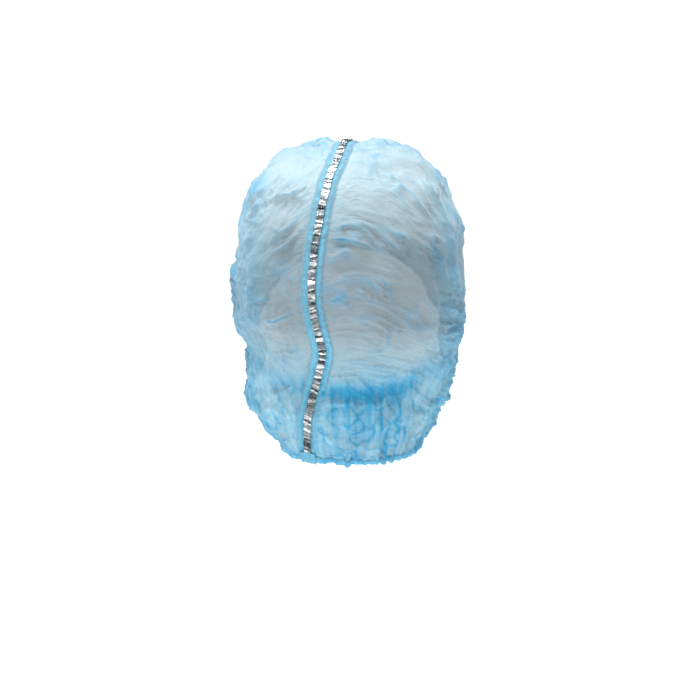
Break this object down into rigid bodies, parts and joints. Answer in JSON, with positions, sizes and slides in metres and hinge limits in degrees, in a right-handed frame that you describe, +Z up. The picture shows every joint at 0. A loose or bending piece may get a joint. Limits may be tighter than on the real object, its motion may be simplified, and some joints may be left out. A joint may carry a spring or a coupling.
{
  "type": "disposable hairnet",
  "caption": "Sheer gathered nonwoven hair cover in its worn form, with an elastic edge round the face and neck and a crinkled metal strip over the crown.",
  "frame": {"origin": "the inside of the crown, where the top of the head holds the cap up", "axes": "+Z up, +Y the way the wearer faces, +X to the wearer's right"},
  "size_m": [0.1681, 0.2035, 0.2368],
  "materials": {
    "nonwoven": "sheer spunbonded cloth, matt",
    "gathered_hem": "gathered cloth over elastic, matt",
    "doubled_cloth": "two welded layers of cloth, matt",
    "strip_foil": "bright crinkled foil"
  },
  "bodies": {
    "root": {"cap_shell": "nonwoven", "elastic_edge": "gathered_hem", "strip_band": "doubled_cloth", "brow_seal": "doubled_cloth", "nape_seal": "doubled_cloth", "metal_strip": "strip_foil"}
  },
  "joints": []
}
